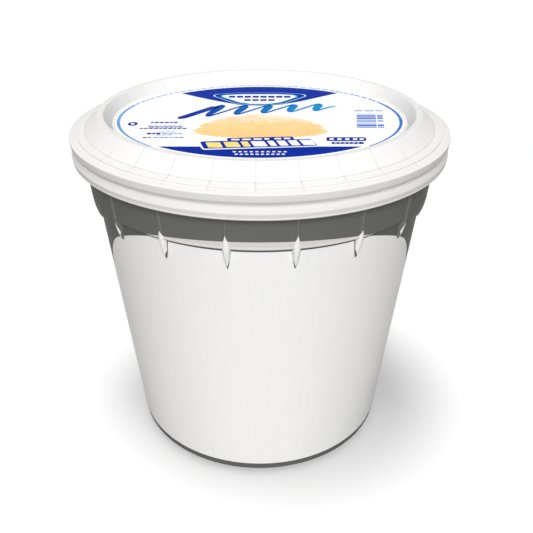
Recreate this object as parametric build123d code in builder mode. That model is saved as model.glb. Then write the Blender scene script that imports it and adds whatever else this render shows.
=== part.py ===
from build123d import *
import os
from math import asin, cos, hypot, radians, sin

# A round tapered ice cream tub with a press-on lid, two wrap labels on the wall
# and a round label in the lid. Millimetres, +Z up, origin at the centre of the
# base, front towards -Y. The tub is shut, so the tub and its fill are one solid.

# Tub wall
BASE_RADIUS = 78.5       # where the wall's straight line meets the base plane
WALL_TAPER = 0.1004      # growth of the wall's radius for each mm of height
WALL_HEIGHT = 158.9      # base plane to the collar's lower edge
BASE_ROUND = 2.5         # rounding of the base edge
FOOT_WIDTH = 5.0         # ring that the tub stands on
FOOT_DEPTH = 1.2         # recess inside that ring

# Collar, the thicker band below the lid
COLLAR_STEP = 2.4        # how far the collar stands out from the wall
COLLAR_BAND = 19.1       # height of the collar that shows below the lid
COLLAR_BEVEL = 0.5       # bevel of the collar's lower edge

# Ribs, which run down the collar and fade out in a V on the wall
RIB_COUNT = 18
RIB_START = 10.5         # first rib, degrees from the front towards +X
RIB_PROUD = 0.6          # how far a rib stands out from the collar
RIB_HALF_WIDTH = 2.75    # half the width from the collar's lower edge upwards
RIB_ROOT = 1.0           # how deep a rib's root reaches into the wall
RIB_SHOULDER = 0.7       # share of its depth at which a rib's flank turns in
RIB_FACE_SHARE = 0.85    # share of its width that is left there
RIB_FLAT_SHARE = 0.425   # share of its width that its flat face has
RIB_FOOT = 11.9          # height of the V below the collar
RIB_TIP_SHARE = 0.04     # size of the V's blunt tip as a share of the whole rib
RIB_STEPS = 4            # sections in the V

# Lid, measured from the collar under its lower edge and upwards from there
LID_WALL = 1.5           # thickness of the lid
LID_OVERHANG = 7.0       # rim's outer face beyond the collar
SKIRT_DEPTH = 15.1       # lower edge up to the foot of the bead
LOWER_BAND = 6.3         # height of the skirt's lower band
GROOVE_WIDTH = 1.4       # groove between the skirt's two bands
GROOVE_DEPTH = 1.6
GROOVE_SLOPE = 0.5333    # how far each side of the groove slopes
BAND_INSET = 0.25        # lower band lies this far inside the rim band
LIP = 0.8                # width of the bevel on the lid's lower edge
LIP_HEIGHT = 1.6         # height of that bevel
RIM_ROUND = 3.2          # rounding between the rim band and the flange
FLANGE_WIDTH = 8.7       # rim's outer face in to the foot of the bead
FLANGE_FALL = 1.7        # how far the flange falls towards the rim
BEAD_OUTER = 7.3         # width of the bead's outer slope
BEAD_HEIGHT = 7.3        # height of the bead above the flange
CREST_WIDTH = 3.3        # flat top of the bead
CREST_ROUND = 1.0
BEAD_INNER = 4.2         # width of the bead's inner slope
PANEL_DEPTH = 5.9        # recess of the panel below the crest

# Fits
LID_GAP = 0.3            # clearance between the lid and the tub's rim
RIM_DEPTH = 5.0          # height of the tub's rim inside the skirt

# Labels
LABEL_FILM = 0.3         # thickness of the label film
LABEL_BOTTOM = 5.5       # lower edge of the wall label above the base plane
LABEL_CORNER = 6.0       # rounding of the label's lower corners
LABEL_RISE = 4.7         # upper edge's height at the front above the collar's lower edge
LABEL_HALF_ANGLE = 78.0  # side edge of the label, degrees from its middle
LABEL_SHOULDER = 54.0    # where the label's upper corner starts to round off
LABEL_CORNER_DROP = 53.0 # height of that rounded upper corner
LABEL_BEND = 15.56       # fall of the upper edge with the square of its angle
LABEL_BEND_FAR = 5.63    # and with the fourth power
LABEL_STEPS = 12         # points along half of the upper edge
LID_LABEL_MARGIN = 1.8   # panel's edge to the lid label's edge

FRONT = -90.0            # angle of the front, from +X


def wall_radius(height):
    return BASE_RADIUS + WALL_TAPER * height


def collar_radius(height):
    return wall_radius(height) + COLLAR_STEP


# Heights and radii that follow from the sizes above
LID_BOTTOM = WALL_HEIGHT + COLLAR_BAND
BEAD_FOOT = LID_BOTTOM + SKIRT_DEPTH
CREST = BEAD_FOOT + BEAD_HEIGHT
PANEL = CREST - PANEL_DEPTH
LID_RADIUS = collar_radius(LID_BOTTOM) + LID_OVERHANG
FOOT_RADIUS = LID_RADIUS - FLANGE_WIDTH
CREST_OUTER = FOOT_RADIUS - BEAD_OUTER
CREST_INNER = CREST_OUTER - CREST_WIDTH
PANEL_RADIUS = CREST_INNER - BEAD_INNER
SKIRT_INSIDE = LID_RADIUS - GROOVE_DEPTH - LID_WALL

# The lid's top surface as a line from the axis out to the flange's edge
LID_TOP = [
    (0, PANEL),
    (PANEL_RADIUS, PANEL),
    (CREST_INNER, CREST),
    (CREST_OUTER, CREST),
    (FOOT_RADIUS, BEAD_FOOT),
    (LID_RADIUS, BEAD_FOOT - FLANGE_FALL),
]


def shifted(points, gap):
    """The line through the points, moved by gap to its lower side, corners mitred."""
    normals = []
    for start, end in zip(points, points[1:]):
        run = end[0] - start[0]
        rise = end[1] - start[1]
        length = hypot(run, rise)
        normals.append((rise / length, -run / length))
    before = [normals[0]] + normals
    after = normals + [normals[-1]]
    moved = []
    for point, a, b in zip(points, before, after):
        scale = gap / (1 + a[0] * b[0] + a[1] * b[1])
        moved.append((point[0] + scale * (a[0] + b[0]), point[1] + scale * (a[1] + b[1])))
    return moved


def radius_at(start, end, height):
    """Where the line from start to end crosses a height."""
    share = (height - start[1]) / (end[1] - start[1])
    return start[0] + share * (end[0] - start[0])


def height_at(start, end, radius):
    """Where the line from start to end crosses a radius."""
    share = (radius - start[0]) / (end[0] - start[0])
    return start[1] + share * (end[1] - start[1])


def tub_profile():
    """Points of half the tub's section, from the axis up over the rim and down."""
    seat = PANEL - LID_WALL
    under = shifted(LID_TOP, LID_WALL + LID_GAP)
    rim_radius = SKIRT_INSIDE - LID_GAP
    rim_top = height_at(under[4], under[5], rim_radius)
    rim_bottom = rim_top - RIM_DEPTH
    foot_inside = BASE_RADIUS - BASE_ROUND - FOOT_WIDTH
    return [
        (0, seat),
        (radius_at(under[1], under[2], seat), seat),
        under[2],
        under[3],
        under[4],
        (rim_radius, rim_top),
        (rim_radius, rim_bottom),
        (collar_radius(rim_bottom), rim_bottom),
        (collar_radius(WALL_HEIGHT + COLLAR_BEVEL), WALL_HEIGHT + COLLAR_BEVEL),
        (collar_radius(WALL_HEIGHT) - COLLAR_BEVEL, WALL_HEIGHT),
        (wall_radius(WALL_HEIGHT), WALL_HEIGHT),
        (BASE_RADIUS, 0),
        (foot_inside, 0),
        (foot_inside, FOOT_DEPTH),
        (0, FOOT_DEPTH),
    ]


def lid_outside():
    """Points of the lid's outer face, from its lower edge up to the bead."""
    band = LID_RADIUS - BAND_INSET
    groove = LID_RADIUS - GROOVE_DEPTH
    groove_bottom = LID_BOTTOM + LOWER_BAND
    groove_top = groove_bottom + GROOVE_WIDTH
    return [
        (band - LIP, LID_BOTTOM),
        (band, LID_BOTTOM + LIP_HEIGHT),
        (band, groove_bottom),
        (groove, groove_bottom + GROOVE_SLOPE),
        (groove, groove_top),
        (LID_RADIUS, groove_top + GROOVE_SLOPE),
        (LID_RADIUS, BEAD_FOOT - FLANGE_FALL),
        (FOOT_RADIUS, BEAD_FOOT),
    ]


def label_top(angle):
    """Height of the wall label's upper edge at an angle from its middle, degrees."""
    turn = radians(angle)
    height = WALL_HEIGHT + LABEL_RISE - LABEL_BEND * turn ** 2 - LABEL_BEND_FAR * turn ** 4
    if angle > LABEL_SHOULDER:
        share = (angle - LABEL_SHOULDER) / (LABEL_HALF_ANGLE - LABEL_SHOULDER)
        height -= LABEL_CORNER_DROP * (1 - cos(asin(min(share, 1))))
    return height


# --- rib ---------------------------------------------------------------------
def rib_section(height, depth, half_width):
    """Corners of a rib's section, from its root in the wall out to its flat face."""
    wall = wall_radius(height)
    return [
        (wall - RIB_ROOT, -half_width),
        (wall, -half_width),
        (wall + RIB_SHOULDER * depth, -half_width * RIB_FACE_SHARE),
        (wall + depth, -half_width * RIB_FLAT_SHARE),
        (wall + depth, half_width * RIB_FLAT_SHARE),
        (wall + RIB_SHOULDER * depth, half_width * RIB_FACE_SHARE),
        (wall, half_width),
        (wall - RIB_ROOT, half_width),
    ]


def rib_sections():
    """Height, depth and half width of each section, from the V's tip up."""
    depth = COLLAR_STEP + RIB_PROUD
    tip = WALL_HEIGHT - RIB_FOOT
    sections = []
    for step in range(RIB_STEPS + 1):
        share = max(step / RIB_STEPS, RIB_TIP_SHARE)
        swell = sin(radians(90 * share))
        sections.append((tip + share * RIB_FOOT, depth * swell, RIB_HALF_WIDTH * share))
    sections.append((LID_BOTTOM + LIP, depth, RIB_HALF_WIDTH))
    return sections


with BuildPart() as rib:
    for height, depth, half_width in rib_sections():
        with BuildSketch(Plane.XY.offset(height)):
            Polygon(*rib_section(height, depth, half_width), align=None)
    loft(ruled=True)

# --- tub ---------------------------------------------------------------------
with BuildPart() as tub:
    with BuildSketch(Plane.XZ):
        with BuildLine():
            FilletPolyline(
                *tub_profile(),
                radius=[0] * 10 + [BASE_ROUND, 0, 0],
            )
            Line((0, FOOT_DEPTH), (0, PANEL - LID_WALL))
        make_face()
    revolve(axis=Axis.Z)
    with PolarLocations(0, RIB_COUNT, start_angle=FRONT + RIB_START):
        add(rib.part)
tub.part.label = "tub"

# --- lid ---------------------------------------------------------------------
underside = shifted(LID_TOP, LID_WALL)
skirt_top = height_at(underside[4], underside[5], SKIRT_INSIDE)

with BuildPart() as lid:
    with BuildSketch(Plane.XZ):
        with BuildLine():
            FilletPolyline(
                (0, PANEL - LID_WALL),
                *underside[1:5],
                (SKIRT_INSIDE, skirt_top),
                (SKIRT_INSIDE, LID_BOTTOM),
                *lid_outside(),
                *reversed(LID_TOP[:4]),
                radius=[0] * 12 + [RIM_ROUND, 0, CREST_ROUND, CREST_ROUND, 0],
            )
            Line((0, PANEL), (0, PANEL - LID_WALL))
        make_face()
    revolve(axis=Axis.Z)
lid.part.label = "lid"

# --- lid label ---------------------------------------------------------------
with BuildPart() as lid_label:
    with BuildSketch(Plane.XY.offset(PANEL)):
        Circle(PANEL_RADIUS - LID_LABEL_MARGIN)
    extrude(amount=LABEL_FILM)
lid_label.part.label = "lid_label"


# --- wall labels -------------------------------------------------------------
def label_outline():
    """Points of half the label's upper edge on the front plane, from the middle out."""
    points = []
    for step in range(LABEL_STEPS + 1):
        angle = LABEL_HALF_ANGLE * sin(radians(90 * step / LABEL_STEPS))
        height = label_top(angle)
        points.append((wall_radius(height) * sin(radians(angle)), height))
    return points


edge = label_outline()
corner = (wall_radius(LABEL_BOTTOM) * sin(radians(LABEL_HALF_ANGLE)), LABEL_BOTTOM)

with BuildPart() as label_front:
    with BuildSketch(Plane.XZ):
        Polygon(
            (wall_radius(LABEL_BOTTOM), LABEL_BOTTOM),
            (wall_radius(LABEL_BOTTOM) + LABEL_FILM, LABEL_BOTTOM),
            (wall_radius(WALL_HEIGHT) + LABEL_FILM, WALL_HEIGHT),
            (wall_radius(WALL_HEIGHT), WALL_HEIGHT),
            align=None,
        )
    revolve(axis=Axis.Z)
    with BuildSketch(Plane.XZ):
        with BuildLine():
            Spline(*edge)
            FilletPolyline(edge[-1], corner, (0, LABEL_BOTTOM), radius=LABEL_CORNER)
            Line((0, LABEL_BOTTOM), edge[0])
        make_face()
        mirror(about=Plane.YZ)
    extrude(amount=LID_RADIUS, mode=Mode.INTERSECT)
    with PolarLocations(0, RIB_COUNT, start_angle=FRONT + RIB_START):
        add(rib.part, mode=Mode.SUBTRACT)
label_front.part.label = "label_front"

with BuildPart() as label_back:
    add(label_front.part, rotation=(0, 0, 180))
label_back.part.label = "label_back"

# --- files -------------------------------------------------------------------
os.makedirs("parts", exist_ok=True)
for piece in (tub, lid, lid_label, label_front, label_back):
    export_step(piece.part, f"parts/{piece.part.label}.step")
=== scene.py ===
"""Looks of a shut round ice cream tub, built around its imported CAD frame.

Sizes are in millimetres and become metres where a mesh is made. Azimuths are in degrees
from the tub's front (-Y) towards +X. Heights are above the plane that the tub stands on.
"""
import logging
import math
from dataclasses import dataclass, field
from enum import Enum
from typing import Callable, Iterable, Sequence, Union

import bmesh
import bpy
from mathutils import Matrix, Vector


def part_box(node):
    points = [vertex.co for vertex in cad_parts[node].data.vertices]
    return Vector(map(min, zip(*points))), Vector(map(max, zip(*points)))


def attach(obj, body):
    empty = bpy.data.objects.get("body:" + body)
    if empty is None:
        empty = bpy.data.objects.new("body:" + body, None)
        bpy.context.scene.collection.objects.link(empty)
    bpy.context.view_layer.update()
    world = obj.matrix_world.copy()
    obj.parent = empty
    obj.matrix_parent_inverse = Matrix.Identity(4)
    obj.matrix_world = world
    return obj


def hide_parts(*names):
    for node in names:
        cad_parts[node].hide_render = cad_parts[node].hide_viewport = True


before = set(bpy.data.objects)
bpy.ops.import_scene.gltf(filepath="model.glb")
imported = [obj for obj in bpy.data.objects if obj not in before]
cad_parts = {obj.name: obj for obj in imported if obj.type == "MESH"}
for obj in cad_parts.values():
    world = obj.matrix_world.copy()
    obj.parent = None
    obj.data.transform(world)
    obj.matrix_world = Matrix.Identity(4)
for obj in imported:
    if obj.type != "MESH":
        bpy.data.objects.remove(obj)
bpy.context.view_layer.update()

MM = 0.001
WHITE = (1.0, 1.0, 1.0, 1.0)
NEARLY_STRAIGHT = 0.02        # corners that turn by less than this stay as they are, in radians
ARC_SHARE = 0.48              # largest share of a side that a corner's arc may take
LOG = logging.getLogger("ice_cream_tub")

Flat = tuple[float, float]
Corner = tuple[float, float, float]     # a flat point and the radius that rounds it
Point = tuple[float, float, float]
Colour = tuple[float, float, float, float]
NodeInput = Union[float, Sequence[float], bpy.types.NodeSocket]


class Slot(Enum):
    """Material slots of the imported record."""

    TUB = "tub_plastic"
    LID = "lid_plastic"
    LID_LABEL = "lid_label_film"
    WALL_LABEL = "wall_label_film"


# --- flat and solid geometry -------------------------------------------------
def at(azimuth: float, radius: float, height: float) -> Point:
    """Point on a ring around the tub's axis.

    Args:
        azimuth: Degrees from the front towards +X.
        radius: Distance from the axis.
        height: Height above the base plane.

    Returns:
        The point's three coordinates in millimetres.
    """
    turn = math.radians(azimuth)
    return (radius * math.sin(turn), -radius * math.cos(turn), height)


def steps(low: float, high: float, count: int) -> list[float]:
    """Evenly spaced values from low to high, both included.

    Args:
        low: First value.
        high: Last value.
        count: How many gaps lie between the values.

    Returns:
        count + 1 values.
    """
    return [low + (high - low) * i / count for i in range(count + 1)]


def eased(low: float, high: float, count: int) -> list[float]:
    """Values from low to high that crowd together at both ends.

    Args:
        low: First value.
        high: Last value.
        count: How many gaps lie between the values.

    Returns:
        count + 1 values.
    """
    return [low + (high - low) * (1 - math.cos(turn)) / 2 for turn in steps(0, math.pi, count)]


def rounded(corners: Sequence[Corner], arc_step: float = 12.0) -> list[Flat]:
    """A line through the corners, with all but its two ends turned into arcs.

    Args:
        corners: Place and rounding radius of each corner. The ends' radii aren't used.
        arc_step: Largest turn between two points of an arc, in degrees.

    Returns:
        The line's points, arcs included.
    """
    line = [corners[0][:2]]
    for before, (x, y, radius), after in zip(corners, corners[1:], corners[2:]):
        ways = []
        for other in (before, after):
            run, rise = other[0] - x, other[1] - y
            length = math.hypot(run, rise)
            ways.append((run / length, rise / length, length))
        (ax, ay, a_length), (bx, by, b_length) = ways
        opening = math.acos(max(-1.0, min(1.0, ax * bx + ay * by)))
        if radius <= 0 or opening > math.pi - NEARLY_STRAIGHT:
            line.append((x, y))
            continue
        reach = min(radius / math.tan(opening / 2), ARC_SHARE * a_length, ARC_SHARE * b_length)
        radius = reach * math.tan(opening / 2)
        middle = math.hypot(ax + bx, ay + by)
        to_centre = radius / math.sin(opening / 2) / middle
        cx, cy = x + (ax + bx) * to_centre, y + (ay + by) * to_centre
        start = math.atan2(y + ay * reach - cy, x + ax * reach - cx)
        end = math.atan2(y + by * reach - cy, x + bx * reach - cx)
        sweep = (end - start + math.pi) % (2 * math.pi) - math.pi
        count = max(2, math.ceil(math.degrees(abs(sweep)) / arc_step))
        for angle in steps(start, start + sweep, count):
            line.append((cx + radius * math.cos(angle), cy + radius * math.sin(angle)))
    line.append(corners[-1][:2])
    return line


def round_loop(points: Sequence[Flat], radius: float) -> list[Flat]:
    """A closed outline with every corner rounded by the same radius.

    Args:
        points: The outline's corners.
        radius: Rounding radius.

    Returns:
        The outline's points, without the first one repeated.
    """
    start = ((points[0][0] + points[-1][0]) / 2, (points[0][1] + points[-1][1]) / 2)
    return rounded([(x, y, radius) for x, y in (start, *points, start)])[:-1]


def oval(centre: Flat, across: float, along: float, count: int) -> list[Flat]:
    """An oval outline.

    Args:
        centre: Its centre.
        across: Half its width.
        along: Half its height.
        count: How many points it has.

    Returns:
        Its points.
    """
    turns = steps(0, 2 * math.pi, count)[:-1]
    return [(centre[0] + across * math.cos(turn), centre[1] + along * math.sin(turn))
            for turn in turns]


class Shape:
    """A mesh in the making, in millimetres."""

    def __init__(self) -> None:
        """Starts an empty mesh."""
        self.points: list[Point] = []
        self.faces: list[tuple[int, ...]] = []

    def add(self, points: Iterable[Point]) -> list[int]:
        """Adds points.

        Args:
            points: The new points.

        Returns:
            Their numbers in the mesh.
        """
        first = len(self.points)
        self.points.extend(points)
        return list(range(first, len(self.points)))

    def band(self, low: Sequence[int], high: Sequence[int], closed: bool) -> None:
        """Joins two rows of points with four-sided faces.

        Args:
            low: Numbers of the first row's points.
            high: Numbers of the second row's points, as many.
            closed: Whether the last pair joins the first.
        """
        count = len(low)
        for i in range(count if closed else count - 1):
            j = (i + 1) % count
            self.faces.append((low[i], low[j], high[j], high[i]))

    def fan(self, ring: Sequence[int], hub: Point) -> None:
        """Closes a ring of points with a fan of triangles.

        Args:
            ring: Numbers of the ring's points.
            hub: The point that the triangles meet in.
        """
        (middle,) = self.add([hub])
        for i, number in enumerate(ring):
            self.faces.append((number, ring[(i + 1) % len(ring)], middle))

    def rod(self, rows: Iterable[Iterable[Point]]) -> None:
        """Adds a bar whose sections are closed rows of points.

        Args:
            rows: The sections from one end to the other, each with as many points.
        """
        rings = [self.add(row) for row in rows]
        for low, high in zip(rings, rings[1:]):
            self.band(low, high, closed=True)
        self.faces.append(tuple(rings[0]))
        self.faces.append(tuple(rings[-1]))

    def turned(self, section: Iterable[Flat], segments: int) -> list[list[int]]:
        """Adds the rings that a section's points sweep about the axis.

        Args:
            section: Radius and height of the section's points.
            segments: Points around the axis.

        Returns:
            The numbers of each ring's points.
        """
        angles = steps(0, 360, segments)[:-1]
        return [self.add(at(angle, radius, height) for angle in angles)
                for radius, height in section]

    def lathe(self, profile: Sequence[Flat], segments: int) -> None:
        """Turns a half section about the axis into a closed solid.

        Args:
            profile: Radius and height of the section's points, from the axis to the axis.
            segments: Faces around the axis.
        """
        rings = self.turned(profile[1:-1], segments)
        for low, high in zip(rings, rings[1:]):
            self.band(low, high, closed=True)
        for ring, (_, height) in ((rings[0], profile[0]), (rings[-1], profile[-1])):
            self.fan(ring, (0.0, 0.0, height))

    def hoop(self, section: Sequence[Flat], segments: int) -> None:
        """Turns a closed section about the axis into a ring.

        Args:
            section: Radius and height of the section's points.
            segments: Faces around the axis.
        """
        rings = self.turned(section, segments)
        for low, high in zip(rings, rings[1:] + rings[:1]):
            self.band(low, high, closed=True)

    def sheet(self, across: Sequence[float], along: Sequence[float],
              place: Callable[[float, float, bool], Point]) -> None:
        """Adds a closed thin sheet with an outer and an inner side.

        Args:
            across: Values of the first parameter.
            along: Values of the second parameter.
            place: Gives the point for both parameters and whether it's on the outer side.
        """
        sides = []
        for outer in (True, False):
            sides.append([self.add(place(a, b, outer) for a in across) for b in along])
        for rows in sides:
            for low, high in zip(rows, rows[1:]):
                self.band(low, high, closed=False)
        for row in (0, -1):
            self.band(sides[0][row], sides[1][row], closed=False)
        for column in (0, -1):
            edge = [[row[column] for row in rows] for rows in sides]
            self.band(edge[0], edge[1], closed=False)

    def plate(self, outline: Sequence[Flat], bottom: float, top: float) -> None:
        """Adds a flat plate.

        Args:
            outline: The plate's outline on a level plane.
            bottom: Height of its underside.
            top: Height of its upper side.
        """
        self.rod([(x, y, height) for x, y in outline] for height in (bottom, top))

    def piece(self, name: str, finish: "Finish", slot: Slot, crease: float = 32.0) -> bpy.types.Object:
        """Makes the Blender object, which rides on the tub's one body.

        Args:
            name: The piece's name.
            finish: What it is made of.
            slot: The record's material slot. It is not used.
            crease: Edges that turn by more degrees than this look sharp.

        Returns:
            The new object.
        """
        mesh = bpy.data.meshes.new(name)
        work = bmesh.new()
        vertices = [work.verts.new((x * MM, y * MM, z * MM)) for x, y, z in self.points]
        for face in self.faces:
            work.faces.new([vertices[i] for i in face])
        bmesh.ops.recalc_face_normals(work, faces=work.faces)
        bmesh.ops.triangulate(work, faces=[f for f in work.faces if len(f.verts) > 4])
        for face in work.faces:
            face.smooth = True
        work.to_mesh(mesh)
        work.free()
        mesh.set_sharp_from_angle(angle=math.radians(crease))
        mesh.materials.append(finish.material())
        piece = bpy.data.objects.new(name, mesh)
        bpy.context.scene.collection.objects.link(piece)
        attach(piece, "root")
        return piece


class SubAssembly:
    """A group of pieces that belong together."""

    def build(self) -> list[bpy.types.Object]:
        """Builds the pieces in order."""
        raise NotImplementedError


# --- finishes ----------------------------------------------------------------
def linear(hex_code: str) -> Colour:
    """Turns an sRGB hex value into a linear colour.

    Args:
        hex_code: Six hex digits after a #.

    Returns:
        Red, green, blue and an alpha of 1.
    """
    parts = [int(hex_code[i:i + 2], 16) / 255 for i in (1, 3, 5)]
    parts = [p / 12.92 if p <= 0.04045 else ((p + 0.055) / 1.055) ** 2.4 for p in parts]
    return (parts[0], parts[1], parts[2], 1.0)


def per_metre(size: float) -> float:
    """Scale of a pattern whose features are size millimetres wide."""
    return 1 / (size * MM)


def add_node(tree: bpy.types.NodeTree, kind: str, inputs: dict[Union[str, int], NodeInput],
             **settings: object) -> bpy.types.Node:
    """Adds one node with its settings, input values and links.

    Args:
        tree: The node tree.
        kind: Blender's name for the node.
        inputs: A value, or the socket to link, for each named or numbered input.
        settings: Properties of the node.

    Returns:
        The new node.
    """
    node = tree.nodes.new(kind)
    for key, value in settings.items():
        setattr(node, key, value)
    for key, value in inputs.items():
        if isinstance(value, bpy.types.NodeSocket):
            tree.links.new(value, node.inputs[key])
        else:
            node.inputs[key].default_value = value
    return node


@dataclass(frozen=True)
class Finish:
    """What a piece is made of. Each kind of finish draws its own nodes."""

    name: str

    def material(self) -> bpy.types.Material:
        """Makes the Blender material on first use.

        Returns:
            The material, the same one at each call.
        """
        found = bpy.data.materials.get(self.name)
        if found is not None:
            return found
        made = bpy.data.materials.new(self.name)
        made.use_nodes = True
        tree = made.node_tree
        tree.nodes.clear()
        place = add_node(tree, "ShaderNodeTexCoord", {}).outputs["Object"]
        shader = self.shader(tree, place)
        add_node(tree, "ShaderNodeOutputMaterial", {"Surface": shader.outputs[0]})
        return made

    def shader(self, tree: bpy.types.NodeTree, place: bpy.types.NodeSocket) -> bpy.types.Node:
        """Draws the finish.

        Args:
            tree: The material's node tree.
            place: Coordinates in the row frame, in metres.

        Returns:
            The surface shader's node.
        """
        raise NotImplementedError


@dataclass(frozen=True)
class Patterned(Finish):
    """A finish with two tones that a pattern blends, and a gloss that follows the pattern."""

    colour: str                  # sRGB hex value at the pattern's light places
    tone: str                    # the same at its dark places
    roughness: float = 0.3
    smoother: float = 0.03       # how far the roughness falls at the pattern's dark places
    duller: float = 0.05         # how far it rises at its light places
    pattern: float = 1.0         # size of the pattern
    pattern_detail: float = 3.0
    specular: float = 0.02
    ior: float = 1.5

    def drift(self, tree: bpy.types.NodeTree, place: bpy.types.NodeSocket) -> dict[str, NodeInput]:
        """Draws the pattern.

        Args:
            tree: The material's node tree.
            place: Coordinates that the pattern lies in, in metres.

        Returns:
            The inputs of the surface shader: its colour, its roughness and its reflection.
        """
        noise = add_node(tree, "ShaderNodeTexNoise",
                         {"Vector": place, "Scale": per_metre(self.pattern),
                          "Detail": self.pattern_detail})
        blend = add_node(tree, "ShaderNodeMix",
                         {"Factor": noise.outputs["Fac"], "A": linear(self.tone),
                          "B": linear(self.colour)}, data_type="RGBA")
        gloss = add_node(tree, "ShaderNodeMapRange",
                         {"Value": noise.outputs["Fac"], "To Min": self.roughness - self.smoother,
                          "To Max": self.roughness + self.duller})
        return {"Base Color": blend.outputs["Result"], "Roughness": gloss.outputs["Result"],
                "IOR": self.ior, "Specular IOR Level": self.specular}

    def relief(self, tree: bpy.types.NodeTree, place: bpy.types.NodeSocket, size: float,
               height: float, detail: float, strength: float) -> bpy.types.NodeSocket:
        """Draws a shallow uneven skin.

        Args:
            tree: The material's node tree.
            place: Coordinates in the row frame, in metres.
            size: Width of its bumps.
            height: Their height.
            detail: How many finer layers they carry.
            strength: Share of the height that shows.

        Returns:
            The socket of its normals.
        """
        bumps = add_node(tree, "ShaderNodeTexNoise",
                         {"Vector": place, "Scale": per_metre(size), "Detail": detail})
        return add_node(tree, "ShaderNodeBump",
                        {"Height": bumps.outputs["Fac"], "Strength": strength,
                         "Distance": height * MM}).outputs["Normal"]


@dataclass(frozen=True)
class MouldedPolypropylene(Patterned):
    """Injection-moulded polypropylene.

    The polished mould leaves a satin skin with a broad soft highlight. Fine texture of the
    steel shows as a faint sparkle, and the melt's flow as cloudy changes of tone.
    """

    roughness: float = 0.38
    smoother: float = 0.04
    pattern: float = 34.0        # size of the cloudy changes of tone
    specular: float = 0.05
    ior: float = 1.49
    grain: float = 0.55          # width of the steel's texture, coarser than the real 0.1 mm to show
    grain_height: float = 0.004
    scatter: float = 0.0         # share of light that the pale plastic carries under its skin
    scatter_reach: float = 1.2   # how far that light travels

    def shader(self, tree: bpy.types.NodeTree, place: bpy.types.NodeSocket) -> bpy.types.Node:
        """Satin plastic with clouds of tone, a fine grain and uneven gloss.

        Args:
            tree: The material's node tree.
            place: Coordinates in the row frame, in metres.

        Returns:
            The surface shader's node.
        """
        skin = self.relief(tree, place, self.grain, self.grain_height, detail=2.0, strength=0.5)
        return add_node(tree, "ShaderNodeBsdfPrincipled",
                        {**self.drift(tree, place), "Normal": skin,
                         "Subsurface Weight": self.scatter, "Subsurface Radius": (1.0, 0.95, 0.9),
                         "Subsurface Scale": self.scatter_reach * MM})


@dataclass(frozen=True)
class InMouldFilm(Patterned):
    """Printed in-mould label film.

    Moulded against the steel, it is smoother than the plastic around it. Its stretch over
    the cone leaves faint upright streaks, and the varnish a very shallow orange peel.
    """

    roughness: float = 0.34
    pattern: float = 2.2         # width of one streak
    streak_length: float = 90.0
    peel: float = 1.8            # size of the varnish's orange peel
    peel_height: float = 0.006

    def shader(self, tree: bpy.types.NodeTree, place: bpy.types.NodeSocket) -> bpy.types.Node:
        """Glossy film with upright streaks and orange peel.

        Args:
            tree: The material's node tree.
            place: Coordinates in the row frame, in metres.

        Returns:
            The surface shader's node.
        """
        squeeze = self.pattern / self.streak_length
        stretched = add_node(tree, "ShaderNodeMapping",
                             {"Vector": place, "Scale": (1.0, 1.0, squeeze)})
        skin = self.relief(tree, place, self.peel, self.peel_height, detail=1.0, strength=0.4)
        return add_node(tree, "ShaderNodeBsdfPrincipled",
                        {**self.drift(tree, stretched.outputs["Vector"]), "Normal": skin})


@dataclass(frozen=True)
class OffsetInk(Patterned):
    """Offset ink under varnish.

    A flat even colour with the slight mottle of ink on film, and the film's own gloss. A
    second colour, if there is one, blends in from the left edge to the right edge.
    """

    far_colour: str = ""
    left: float = -45.0          # where the blend starts
    right: float = 45.0          # where it ends
    pattern: float = 0.9         # size of the mottle, coarser than the real 0.2 mm screen to show
    pattern_detail: float = 2.0
    specular: float = 0.003

    def shader(self, tree: bpy.types.NodeTree, place: bpy.types.NodeSocket) -> bpy.types.Node:
        """Mottled ink, blended across where it has two colours.

        Args:
            tree: The material's node tree.
            place: Coordinates in the row frame, in metres.

        Returns:
            The surface shader's node.
        """
        inputs = self.drift(tree, place)
        if self.far_colour:
            axes = add_node(tree, "ShaderNodeSeparateXYZ", {"Vector": place})
            share = add_node(tree, "ShaderNodeMapRange",
                             {"Value": axes.outputs["X"], "From Min": self.left * MM,
                              "From Max": self.right * MM})
            blend = add_node(tree, "ShaderNodeMix",
                             {"Factor": share.outputs["Result"], "A": inputs["Base Color"],
                              "B": linear(self.far_colour)}, data_type="RGBA")
            inputs["Base Color"] = blend.outputs["Result"]
        return add_node(tree, "ShaderNodeBsdfPrincipled", inputs)


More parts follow.
